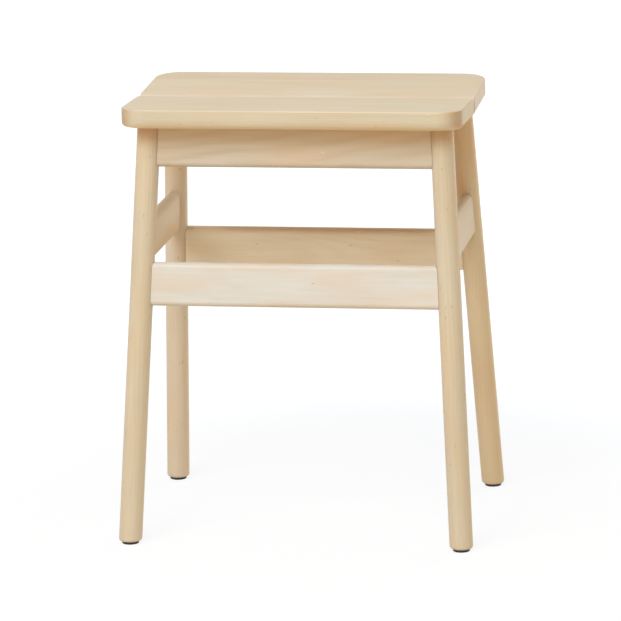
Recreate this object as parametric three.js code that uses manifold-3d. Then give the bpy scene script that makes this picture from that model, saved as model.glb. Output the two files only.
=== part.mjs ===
// Beech stool with a shallow V seat of two boards on four splayed round legs.
// Millimetres, +Z up, front towards -Y. The origin is on the floor, under the middle of the seat.

import * as THREE from 'three';
import { mergeVertices } from 'three/addons/utils/BufferGeometryUtils.js';
import Module from 'manifold-3d';

const wasm = await Module();
wasm.setup();

// Seat
const seatHeight = 450;          // floor to the highest edge of the seat
const seatLength = 350;          // left to right
const boardWidth = 110;          // front to back, each of the two boards
const boardThickness = 20;
const boardGap = 4;              // slot between the two boards
const boardDip = 4.5;            // fall of each board from its outer to its inner edge
const boardCornerRound = 27;     // outer corners, seen from above
const boardInnerCornerRound = 2; // corners at the slot, seen from above
const boardTopRound = 1.2;       // upper edge of the front, back and ends
const boardUnderRound = 10;      // lower edge of the front and back
const boardEndUnderRound = 4.7;  // lower edge of the ends
const grooveRound = 9;           // upper edge along the slot
const grooveUnderRound = 2;      // lower edge along the slot

// Legs
const legDiameter = 24;
const headInsetX = 25.5;         // end of the seat to the leg's axis, at seat height
const headInsetY = 46.25;        // front or back of the seat to the leg's axis, at seat height
const footSpreadX = 22.5;        // how far each foot stands out past its head
const footSpreadY = 61.75;
const footChamfer = 2.5;

// Rails: the aprons under the seat and the stretchers lower down share one section
const railThickness = 12;
const railEdgeRound = 5.5;
const apronDrop = 65.3;          // seat height down to the lower edge of the front and rear aprons
const longStretcherDrop = 206.6; // and of the front and rear stretchers
const shortStretcherDrop = 165.5; // and of the left and right stretchers
const stretcherHeight = 45;

// Battens across the underside of both boards, between the aprons
const battenInset = 80;          // end of the seat to the middle of each batten
const battenWidth = 18;
const battenDrop = 52;           // seat height down to their lower edge

// Dowels in the ends of the aprons and battens and in the heads of the legs
const dowelDiameter = 6;
const dowelBite = 14;            // into the piece that a dowel runs along
const dowelChamfer = 0.8;
const dowelSkin = 3;             // wood left in front of a dowel in an apron's face
const apronDowelShares = [0.25, 0.75]; // of the apron's height
const battenDowelShare = 0.5;    // of the batten's height
const boardBiteShare = 0.6;      // of the board thickness, for dowels and screws

// Tenons on the stretcher ends
const tenonThickness = 6;
const tenonShoulder = 7;         // above and below each tenon
const legWeb = 1;                // wood left between a leg's holes and its middle

// Screws up through the battens into the boards
const screwDiameter = 4;
const screwLength = 32;
const screwHeadDiameter = 7.5;
const screwHeadHeight = 2.6;
const screwPoint = 4;
const screwSlotWidth = 1;
const screwSlotDepth = 1.2;
const screwShares = [0.26, 0.58];  // along each half of a batten

// Glides nailed under the legs
const glideInset = 0.75;         // inside the flat of the foot
const glideThickness = 2.5;
const glideEdge = 0.6;
const nailDiameter = 2.6;
const nailLength = 18;
const nailHeadDiameter = 6;
const nailHeadHeight = 0.7;
const nailPoint = 3;
const nailRecess = 0.4;          // nail head above the glide's face

// Fits and cuts
const fitGap = 0.3;              // between pieces that touch or fit
const overrun = 5;               // how far a cut runs past what it cuts

// Facets
const legSides = 44;
const dowelSides = 12;
const glideSides = 28;
const cornerSteps = 9;
const smallCornerSteps = 3;
const underSteps = 6;
const endUnderSteps = 4;
const topSteps = 3;
const grooveSteps = 7;
const railSteps = 7;
const sameLevelShare = 0.01;     // levels closer than this share of the thickness count as one

// Colours and finishes
const beech = { color: 0xd9bf94, roughness: 0.5, metalness: 0 };
const paleBeech = { color: 0xe6d6c0, roughness: 0.5, metalness: 0 };
const dowelBeech = { color: 0xc9a777, roughness: 0.7, metalness: 0 };
const blackPlastic = { color: 0x1c1814, roughness: 0.6, metalness: 0 };
const steel = { color: 0xa9abad, roughness: 0.35, metalness: 1 };

const LEFT = -1;
const RIGHT = 1;
const FRONT = -1;
const REAR = 1;
const alongX = new THREE.Vector3(1, 0, 0);
const alongY = new THREE.Vector3(0, 1, 0);
const alongZ = new THREE.Vector3(0, 0, 1);

// Solids

function solidOf(geometry) {
  const bare = geometry.index ? geometry.clone() : geometry;
  bare.deleteAttribute('normal');
  bare.deleteAttribute('uv');
  const merged = mergeVertices(bare);
  return new wasm.Manifold(new wasm.Mesh({
    numProp: 3,
    vertProperties: new Float32Array(merged.attributes.position.array),
    triVerts: new Uint32Array(merged.index.array),
  }));
}

function geometryOf(solid) {
  const mesh = solid.getMesh();
  const geometry = new THREE.BufferGeometry();
  geometry.setAttribute('position', new THREE.BufferAttribute(mesh.vertProperties, 3));
  geometry.setIndex(new THREE.BufferAttribute(mesh.triVerts, 1));
  geometry.computeVertexNormals();
  return geometry;
}

function joined(solids) {
  return solids.reduce((whole, solid) => whole.add(solid));
}

function cut(solid, cutters) {
  return cutters.reduce((left, cutter) => left.subtract(cutter), solid);
}

// A turned shape, its profile given from the lower end on the axis to the upper end on the axis,
// stood at a point with its axis along a direction.
function turned(profile, sides, foot, direction) {
  const points = profile.map(([radius, height]) => new THREE.Vector2(radius, height));
  const geometry = new THREE.LatheGeometry(points, sides);
  const turn = new THREE.Quaternion().setFromUnitVectors(alongY, direction.clone().normalize());
  geometry.applyQuaternion(turn);
  geometry.translate(foot.x, foot.y, foot.z);
  return solidOf(geometry);
}

function rod(radius, length, sides, foot, direction) {
  return turned([[0, 0], [radius, 0], [radius, length], [0, length]], sides, foot, direction);
}

// Where the legs run

const headX = seatLength / 2 - headInsetX;
const headY = boardWidth + boardGap / 2 - headInsetY;
const splayX = footSpreadX / seatHeight;
const splayY = footSpreadY / seatHeight;
const footRadius = legDiameter / 2 - footChamfer;

function legX(height) {
  return headX + splayX * (seatHeight - height);
}

function legY(height) {
  return headY + splayY * (seatHeight - height);
}

function legAxisPoint(side, end, height) {
  return new THREE.Vector3(side * legX(height), end * legY(height), height);
}

// Two boards, each tilted down towards the slot between them

const boardTilt = Math.asin(boardDip / boardWidth);
const seatHalfDepth = boardGap / 2 + boardWidth * Math.cos(boardTilt) + boardThickness * Math.sin(boardTilt);
const undersideEdge = seatHeight - boardTopRound
  - (boardThickness - boardTopRound) * Math.cos(boardTilt) + boardTopRound * Math.sin(boardTilt);

function undersideHeight(y) {
  return undersideEdge - (seatHalfDepth - Math.abs(y)) * Math.tan(boardTilt);
}

// How far a rounded edge stands back at a depth below its face
function roundInset(radius, depth) {
  if (depth >= radius) {
    return 0;
  }
  return radius - Math.sqrt(radius ** 2 - (radius - depth) ** 2);
}

function roundDepths(radius, steps) {
  return Array.from({ length: steps + 1 }, (_, i) => radius * (1 - Math.cos(i / steps * Math.PI / 2)));
}

function boardLevels() {
  const levels = [
    ...roundDepths(boardUnderRound, underSteps),
    ...roundDepths(boardEndUnderRound, endUnderSteps),
    ...roundDepths(boardTopRound, topSteps).map((depth) => boardThickness - depth),
    ...roundDepths(grooveRound, grooveSteps).map((depth) => boardThickness - depth),
  ].sort((a, b) => a - b);
  const least = boardThickness * sameLevelShare;
  return levels.filter((level, i) => i === 0 || level - levels[i - 1] > least);
}

function boardRing(level) {
  const below = boardThickness - level;
  const atTop = roundInset(boardTopRound, below);
  const atEnd = Math.max(roundInset(boardEndUnderRound, level), atTop);
  const outer = Math.max(roundInset(boardUnderRound, level), atTop);
  const inner = Math.max(roundInset(grooveUnderRound, level), roundInset(grooveRound, below));
  const halfLength = seatLength / 2 - atEnd;
  const small = boardInnerCornerRound;
  const roundX = Math.max(boardCornerRound - atEnd, small);
  const roundY = Math.max(boardCornerRound - outer, small);
  const corners = [
    [roundX - halfLength, outer + roundY, roundX, roundY, Math.PI, cornerSteps],
    [halfLength - roundX, outer + roundY, roundX, roundY, Math.PI * 3 / 2, cornerSteps],
    [halfLength - small, boardWidth - inner - small, small, small, 0, smallCornerSteps],
    [small - halfLength, boardWidth - inner - small, small, small, Math.PI / 2, smallCornerSteps],
  ];
  return corners.flatMap(([x, y, spanX, spanY, start, steps]) => (
    Array.from({ length: steps + 1 }, (_, i) => {
      const angle = start + i / steps * Math.PI / 2;
      return [x + spanX * Math.cos(angle), y + spanY * Math.sin(angle), level];
    })
  ));
}

// The board lies flat here, its outer edge on the X axis and its underside on the floor
function flatBoard() {
  const rings = boardLevels().map(boardRing);
  const count = rings[0].length;
  const top = (rings.length - 1) * count;
  const points = rings.flat();
  const faces = [];
  for (let ring = 0; ring < rings.length - 1; ring += 1) {
    for (let i = 0; i < count; i += 1) {
      const a = ring * count + i;
      const b = ring * count + (i + 1) % count;
      faces.push(a, b, b + count, a, b + count, a + count);
    }
  }
  const lowMiddle = points.push([0, boardWidth / 2, 0]) - 1;
  const highMiddle = points.push([0, boardWidth / 2, boardThickness]) - 1;
  for (let i = 0; i < count; i += 1) {
    const next = (i + 1) % count;
    faces.push(lowMiddle, next, i);
    faces.push(highMiddle, top + i, top + next);
  }
  const geometry = new THREE.BufferGeometry();
  geometry.setAttribute('position', new THREE.Float32BufferAttribute(points.flat(), 3));
  geometry.setIndex(faces);
  return geometry;
}

function board(end) {
  const geometry = flatBoard();
  geometry.rotateX(-boardTilt);
  geometry.translate(0, -seatHalfDepth, undersideEdge);
  if (end === REAR) {
    geometry.rotateZ(Math.PI);
  }
  return cut(solidOf(geometry), [...headDowelHoles, ...screwHoles]);
}

// Everything above the underside of the seat, less the fitting gap
function seatSpace() {
  const profile = new THREE.Shape();
  const reach = seatHalfDepth + overrun;
  profile.moveTo(-reach, undersideHeight(reach) - fitGap);
  profile.lineTo(0, undersideHeight(0) - fitGap);
  profile.lineTo(reach, undersideHeight(reach) - fitGap);
  profile.lineTo(reach, seatHeight + overrun);
  profile.lineTo(-reach, seatHeight + overrun);
  const length = seatLength + overrun;
  const geometry = new THREE.ExtrudeGeometry(profile, { depth: length, bevelEnabled: false });
  geometry.applyMatrix4(new THREE.Matrix4().makeBasis(alongY, alongZ, alongX));
  geometry.translate(-length / 2, 0, 0);
  return solidOf(geometry);
}

const seatCutter = seatSpace();

// Rails: flat bars with rounded edges that lean with the legs and are hollowed at the ends to fit them

const apronBottom = seatHeight - apronDrop;
const longStretcherBottom = seatHeight - longStretcherDrop;
const shortStretcherBottom = seatHeight - shortStretcherDrop;
const battenBottom = seatHeight - battenDrop;
const battenX = seatLength / 2 - battenInset;

function railFrame(lengthwise, side, bottom) {
  const foot = lengthwise
    ? new THREE.Vector3(0, side * legY(bottom), bottom)
    : new THREE.Vector3(side * legX(bottom), 0, bottom);
  const up = lengthwise
    ? new THREE.Vector3(0, -side * splayY, 1)
    : new THREE.Vector3(-side * splayX, 0, 1);
  up.normalize();
  const along = lengthwise ? alongX : alongY;
  const across = new THREE.Vector3().crossVectors(up, along);
  const halfLength = lengthwise ? legX(bottom) : legY(bottom);
  return { lengthwise, side, bottom, foot, up, along, across, halfLength };
}

function railSection(height, squareTop) {
  const half = railThickness / 2;
  const round = Math.min(railEdgeRound, half);
  const section = new THREE.Shape();
  section.absarc(round - half, round, round, Math.PI, Math.PI * 3 / 2);
  section.absarc(half - round, round, round, Math.PI * 3 / 2, Math.PI * 2);
  if (squareTop) {
    section.lineTo(half, height);
    section.lineTo(-half, height);
  } else {
    section.absarc(half - round, height - round, round, 0, Math.PI / 2);
    section.absarc(round - half, height - round, round, Math.PI / 2, Math.PI);
  }
  return section;
}

function rail(frame, height, squareTop) {
  const section = railSection(height, squareTop);
  const bar = new THREE.ExtrudeGeometry(section, {
    depth: frame.halfLength * 2, bevelEnabled: false, curveSegments: railSteps,
  });
  bar.translate(0, 0, -frame.halfLength);
  bar.applyMatrix4(new THREE.Matrix4().makeBasis(frame.across, frame.up, frame.along));
  bar.translate(frame.foot.x, frame.foot.y, frame.foot.z);
  return cut(solidOf(bar), [...legSpaces, seatCutter]);
}

function legBar(side, end, radius) {
  const foot = legAxisPoint(side, end, -overrun);
  const head = legAxisPoint(side, end, seatHeight + overrun);
  const direction = head.clone().sub(foot);
  return rod(radius, direction.length(), legSides, foot, direction);
}

const legCorners = [
  ['front_left', LEFT, FRONT],
  ['front_right', RIGHT, FRONT],
  ['rear_left', LEFT, REAR],
  ['rear_right', RIGHT, REAR],
];
const legSpaces = legCorners.map(([, side, end]) => legBar(side, end, legDiameter / 2 + fitGap));

const apronFrames = [FRONT, REAR].map((side) => railFrame(true, side, apronBottom));
const longStretcherFrames = [FRONT, REAR].map((side) => railFrame(true, side, longStretcherBottom));
const shortStretcherFrames = [LEFT, RIGHT].map((side) => railFrame(false, side, shortStretcherBottom));
const stretcherFrames = [...longStretcherFrames, ...shortStretcherFrames];

// Tenons: one flat bar through a stretcher whose ends stop short of the middle of the legs

function tenonBar(frame, clearance) {
  const stop = tenonThickness / 2 + fitGap + legWeb - clearance;
  const levels = [tenonShoulder - clearance, stretcherHeight - tenonShoulder + clearance];
  const [low, high] = levels.map((rise) => {
    const height = frame.bottom + rise * frame.up.z;
    return { rise, reach: (frame.lengthwise ? legX(height) : legY(height)) - stop };
  });
  const outline = new THREE.Shape();
  outline.moveTo(-low.reach, low.rise);
  outline.lineTo(low.reach, low.rise);
  outline.lineTo(high.reach, high.rise);
  outline.lineTo(-high.reach, high.rise);
  const thickness = tenonThickness + clearance * 2;
  const bar = new THREE.ExtrudeGeometry(outline, { depth: thickness, bevelEnabled: false });
  bar.translate(0, 0, -thickness / 2);
  const outward = new THREE.Vector3().crossVectors(frame.along, frame.up);
  bar.applyMatrix4(new THREE.Matrix4().makeBasis(frame.along, frame.up, outward));
  bar.translate(frame.foot.x, frame.foot.y, frame.foot.z);
  return solidOf(bar);
}

const mortises = stretcherFrames.map((frame) => tenonBar(frame, fitGap));

function stretcher(frame) {
  return rail(frame, stretcherHeight, false).add(tenonBar(frame, 0));
}

// Dowels

function dowel({ start, direction, length }) {
  const radius = dowelDiameter / 2;
  const waist = radius - dowelChamfer;
  const profile = [
    [0, 0], [waist, 0], [radius, dowelChamfer],
    [radius, length - dowelChamfer], [waist, length], [0, length],
  ];
  return turned(profile, dowelSides, start, direction);
}

function dowelHole({ start, direction, length }) {
  const foot = start.clone().addScaledVector(direction, -fitGap);
  return rod(dowelDiameter / 2 + fitGap, length + fitGap * 2, dowelSides, foot, direction);
}

// Two in each end of an apron, half way into the leg
function apronDowelPlaces(frame) {
  const height = undersideHeight(legY(apronBottom)) - apronBottom;
  return apronDowelShares.flatMap((share) => [LEFT, RIGHT].map((end) => {
    const middle = frame.foot.clone().addScaledVector(frame.up, share * height);
    const reach = legX(middle.z);
    const tip = reach - dowelDiameter / 2 - fitGap - legWeb;
    const root = reach - legDiameter / 2 - dowelBite;
    const start = middle.addScaledVector(alongX, end * root);
    return { start, direction: alongX.clone().multiplyScalar(end), length: tip - root };
  }));
}

// One in each end of a batten, part way into the apron
function battenDowelPlaces(side) {
  const height = undersideHeight(legY(battenBottom)) - battenBottom;
  const level = battenBottom + battenDowelShare * height;
  const face = legY(level) - railThickness / 2;
  const root = face - dowelBite;
  const tip = face + railThickness - dowelSkin;
  return [FRONT, REAR].map((end) => ({
    start: new THREE.Vector3(side * battenX, end * root, level),
    direction: alongY.clone().multiplyScalar(end),
    length: tip - root,
  }));
}

// One up through the head of each leg into the board
function headDowelPlace(side, end) {
  const low = legAxisPoint(side, end, 0);
  const direction = legAxisPoint(side, end, seatHeight).sub(low).normalize();
  const closing = direction.z + Math.tan(boardTilt) * Math.abs(direction.y);
  const rise = (undersideHeight(low.y) - low.z) / closing;
  const start = low.addScaledVector(direction, rise - dowelBite);
  return { start, direction, length: dowelBite + boardBiteShare * boardThickness };
}

const apronDowels = apronFrames.flatMap(apronDowelPlaces);
const battenDowels = [LEFT, RIGHT].flatMap(battenDowelPlaces);
const headDowels = legCorners.map(([, side, end]) => headDowelPlace(side, end));
const apronDowelHoles = apronDowels.map(dowelHole);
const battenDowelHoles = battenDowels.map(dowelHole);
const headDowelHoles = headDowels.map(dowelHole);

// Screws: heads sunk in the battens, shanks up into the boards

function screwPlaces(side) {
  const free = legY(battenBottom) - railThickness / 2;
  return screwShares.flatMap((share) => [FRONT, REAR].map((end) => {
    const y = end * share * free;
    const level = undersideHeight(y) + boardBiteShare * boardThickness - screwLength;
    return new THREE.Vector3(side * battenX, y, level);
  }));
}

function screw(seat) {
  const head = screwHeadDiameter / 2;
  const shank = screwDiameter / 2;
  const tip = screwHeadHeight + screwLength;
  const foot = seat.clone().setZ(seat.z - screwHeadHeight);
  const profile = [
    [0, 0], [head, 0], [head, screwHeadHeight], [shank, screwHeadHeight],
    [shank, tip - screwPoint], [0, tip],
  ];
  const slots = [[head, screwSlotWidth], [screwSlotWidth, head]].map(([x, y]) => {
    const bar = new THREE.BoxGeometry(x, y, screwSlotDepth * 2);
    bar.translate(foot.x, foot.y, foot.z);
    return solidOf(bar);
  });
  return cut(turned(profile, dowelSides, foot, alongZ), slots);
}

function screwHole(seat) {
  const mouth = seat.clone().setZ(battenBottom - overrun);
  const shoulder = seat.z + fitGap - mouth.z;
  const depth = seat.z + screwLength + fitGap - mouth.z;
  return joined([
    rod(screwHeadDiameter / 2 + fitGap, shoulder, dowelSides, mouth, alongZ),
    rod(screwDiameter / 2 + fitGap, depth, dowelSides, mouth, alongZ),
  ]);
}

const seatScrews = [LEFT, RIGHT].flatMap(screwPlaces);
const screwHoles = seatScrews.map(screwHole);

// Aprons and battens

function apron(frame) {
  const blank = rail(frame, seatHeight - apronBottom, true);
  return cut(blank, [...apronDowelHoles, ...battenDowelHoles]);
}

// The room that an apron takes between the battens' ends
function apronSpace(frame) {
  const section = new THREE.Shape();
  const half = railThickness / 2 + fitGap;
  section.moveTo(-half, -overrun);
  section.lineTo(half, -overrun);
  section.lineTo(half, seatHeight - apronBottom);
  section.lineTo(-half, seatHeight - apronBottom);
  const bar = new THREE.ExtrudeGeometry(section, { depth: frame.halfLength * 2, bevelEnabled: false });
  bar.translate(0, 0, -frame.halfLength);
  bar.applyMatrix4(new THREE.Matrix4().makeBasis(frame.across, frame.up, frame.along));
  bar.translate(frame.foot.x, frame.foot.y, frame.foot.z);
  return solidOf(bar);
}

function batten(side) {
  const height = seatHeight - battenBottom;
  const bar = new THREE.BoxGeometry(battenWidth, legY(battenBottom) * 2, height);
  bar.translate(side * battenX, 0, battenBottom + height / 2);
  const cutters = [seatCutter, ...apronFrames.map(apronSpace), ...battenDowelHoles, ...screwHoles];
  return cut(solidOf(bar), cutters);
}

// Legs: round bars cut level at the foot and to the slope of the boards at the head

function legFoot(side, end) {
  return legAxisPoint(side, end, glideThickness + fitGap);
}

function leg(side, end) {
  const foot = legFoot(side, end);
  const flare = [[0, 0], [footRadius, 0], [footRadius + seatHeight, seatHeight], [0, seatHeight]];
  const blank = legBar(side, end, legDiameter / 2).intersect(turned(flare, legSides, foot, alongZ));
  return cut(blank, [seatCutter, ...apronDowelHoles, ...headDowelHoles, ...mortises, ...nailHoles]);
}

// Glides and their nails

const glideFeet = legCorners.map(([, side, end]) => legFoot(side, end).setZ(0));

function glide(foot) {
  const radius = footRadius - glideInset;
  const profile = [
    [0, 0], [radius - glideEdge, 0], [radius, glideEdge], [radius, glideThickness], [0, glideThickness],
  ];
  return cut(turned(profile, glideSides, foot, alongZ), nailHoles);
}

function nail(foot) {
  const head = nailHeadDiameter / 2;
  const shank = nailDiameter / 2;
  const start = foot.clone().setZ(nailRecess);
  const profile = [
    [0, 0], [head, 0], [head, nailHeadHeight], [shank, nailHeadHeight],
    [shank, nailLength - nailPoint], [0, nailLength],
  ];
  return turned(profile, dowelSides, start, alongZ);
}

function nailHole(foot) {
  const mouth = foot.clone().setZ(-overrun);
  const shoulder = nailRecess + nailHeadHeight + fitGap + overrun;
  const depth = nailRecess + nailLength + fitGap + overrun;
  return joined([
    rod(nailHeadDiameter / 2 + fitGap, shoulder, dowelSides, mouth, alongZ),
    rod(nailDiameter / 2 + fitGap, depth, dowelSides, mouth, alongZ),
  ]);
}

const nailHoles = glideFeet.map(nailHole);

// The stool

const stool = new THREE.Group();
stool.name = 'stool';

function addPiece(name, solid, finish) {
  const mesh = new THREE.Mesh(geometryOf(solid), new THREE.MeshStandardMaterial(finish));
  mesh.name = name;
  stool.add(mesh);
}

addPiece('seat_board_front', board(FRONT), beech);
addPiece('seat_board_rear', board(REAR), beech);

for (const [corner, side, end] of legCorners) {
  addPiece(`leg_${corner}`, leg(side, end), beech);
}

addPiece('apron_front', apron(apronFrames[0]), beech);
addPiece('apron_rear', apron(apronFrames[1]), beech);
addPiece('batten_left', batten(LEFT), beech);
addPiece('batten_right', batten(RIGHT), beech);

addPiece('stretcher_front', stretcher(longStretcherFrames[0]), paleBeech);
addPiece('stretcher_rear', stretcher(longStretcherFrames[1]), beech);
addPiece('stretcher_left', stretcher(shortStretcherFrames[0]), beech);
addPiece('stretcher_right', stretcher(shortStretcherFrames[1]), beech);

legCorners.forEach(([corner], i) => {
  addPiece(`leg_head_dowel_${corner}`, dowel(headDowels[i]), dowelBeech);
});
apronDowels.forEach((place, i) => {
  addPiece(`apron_dowel_${i + 1}`, dowel(place), dowelBeech);
});
battenDowels.forEach((place, i) => {
  addPiece(`batten_dowel_${i + 1}`, dowel(place), dowelBeech);
});
seatScrews.forEach((seat, i) => {
  addPiece(`seat_screw_${i + 1}`, screw(seat), steel);
});

legCorners.forEach(([corner], i) => {
  addPiece(`foot_glide_${corner}`, glide(glideFeet[i]), blackPlastic);
  addPiece(`glide_nail_${corner}`, nail(glideFeet[i]), steel);
});

export default stool;
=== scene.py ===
import math

import bmesh
import bpy
from mathutils import Color, Matrix, Vector


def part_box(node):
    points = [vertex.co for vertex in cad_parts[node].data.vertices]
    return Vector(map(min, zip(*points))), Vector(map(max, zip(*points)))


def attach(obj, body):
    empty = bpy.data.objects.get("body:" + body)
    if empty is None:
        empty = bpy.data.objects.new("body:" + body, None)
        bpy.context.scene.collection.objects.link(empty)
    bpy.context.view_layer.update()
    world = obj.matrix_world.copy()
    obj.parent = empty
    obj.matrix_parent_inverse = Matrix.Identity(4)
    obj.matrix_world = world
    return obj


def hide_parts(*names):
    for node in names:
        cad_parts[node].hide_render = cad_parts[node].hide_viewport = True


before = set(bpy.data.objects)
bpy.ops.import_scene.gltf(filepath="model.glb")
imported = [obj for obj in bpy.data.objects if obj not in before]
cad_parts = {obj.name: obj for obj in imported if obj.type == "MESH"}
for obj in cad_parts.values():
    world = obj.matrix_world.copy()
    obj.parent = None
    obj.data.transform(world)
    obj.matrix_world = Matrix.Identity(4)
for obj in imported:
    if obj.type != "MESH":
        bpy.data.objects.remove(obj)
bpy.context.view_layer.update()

# Legs: four round bars of solid beech that splay out to the corners. Each is turned to one thickness,
# sawn level at its rounded foot, and sawn at its head to the slope of the seat board that it carries.
MM = 0.001
SEAT_HEIGHT = 450 * MM
LEG_RADIUS = 12 * MM
LEG_RINGS = 80
FOOT_LEVEL = 2.8 * MM
FOOT_ROUND = 2.8 * MM
FOOT_STEPS = 5
# How far the raw bar runs past each end that is sawn off, as a share of the seat's height
LEG_SPARE = 0.1
# The play between a piece and the hole or hollow that takes it
FIT = 0.3 * MM
SIDES = 72
SMOOTH_UP_TO = math.radians(38)
# The middle of the rear right leg, where it would meet the seat's top and the floor
HEAD = Vector((149.5, 65.75, 450)) * MM
FOOT = Vector((172, 127.5, 0)) * MM
# Each corner's side, left to right, and its end of the stool, front to rear
CORNERS = {
    "front_left": (-1, -1),
    "front_right": (1, -1),
    "rear_left": (-1, 1),
    "rear_right": (1, 1),
}
# The seat boards over the legs, which dip towards the slot between them
BOARD_WIDTH = 110 * MM
BOARD_THICKNESS = 20 * MM
BOARD_DIP = 4.5 * MM
BOARD_TOP_ROUND = 1.2 * MM
SLOT = 4 * MM
TILT = math.asin(BOARD_DIP / BOARD_WIDTH)
HALF_DEPTH = SLOT / 2 + BOARD_WIDTH * math.cos(TILT) + BOARD_THICKNESS * math.sin(TILT)
OUTER_UNDERSIDE = (
    SEAT_HEIGHT - BOARD_TOP_ROUND
    - (BOARD_THICKNESS - BOARD_TOP_ROUND) * math.cos(TILT) + BOARD_TOP_ROUND * math.sin(TILT)
)


def leg_point(corner, height):
    """The middle of a leg at a height above the floor."""
    side, end = CORNERS[corner]
    point = FOOT.lerp(HEAD, height / SEAT_HEIGHT)
    return Vector((side * point.x, end * point.y, height))


def underside(y):
    """How high the underside of the seat is, front to back."""
    return OUTER_UNDERSIDE - (HALF_DEPTH - abs(y)) * math.tan(TILT)


def loft(rings, closed=False):
    """A solid through rings of points. Closed, it runs round to its first ring and has no ends."""
    solid = bmesh.new()
    rows = [[solid.verts.new(point) for point in ring] for ring in rings]
    pairs = zip(rows, rows[1:] + rows[:1]) if closed else zip(rows, rows[1:])
    for low, high in pairs:
        for near, after, over, above in zip(low, low[1:] + low[:1], high[1:] + high[:1], high):
            solid.faces.new((near, after, over, above))
    if not closed:
        solid.faces.new(rows[0])
        solid.faces.new(rows[-1])
    bmesh.ops.recalc_face_normals(solid, faces=solid.faces)
    return solid


def circle(radius):
    """The points of a level circle about nought."""
    angles = [math.tau * i / SIDES for i in range(SIDES)]
    return [Vector((radius * math.cos(angle), radius * math.sin(angle), 0)) for angle in angles]


def round_bar(radius, start, end, shares=(0, 1)):
    """A round bar from one point to another, with rings at shares of its length."""
    axis = end - start
    turn = axis.to_track_quat("Z", "X")
    rim = [turn @ point for point in circle(radius)]
    return loft([[start + axis * share + point for point in rim] for share in shares])


def saw(solid, point, outward):
    """Saws off what lies past a plane, closes the cut and returns the cut's rim."""
    parts = solid.verts[:] + solid.edges[:] + solid.faces[:]
    cut = bmesh.ops.bisect_plane(
        solid, geom=parts, plane_co=point, plane_no=outward, clear_outer=True)
    rim = [part for part in cut["geom_cut"] if isinstance(part, bmesh.types.BMEdge)]
    bmesh.ops.holes_fill(solid, edges=rim, sides=0)
    return rim


def ease(solid, edges, radius, steps):
    """Rounds edges off in a few steps."""
    bmesh.ops.bevel(solid, geom=edges, offset=radius, segments=steps, profile=0.5, affect="EDGES")


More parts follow.
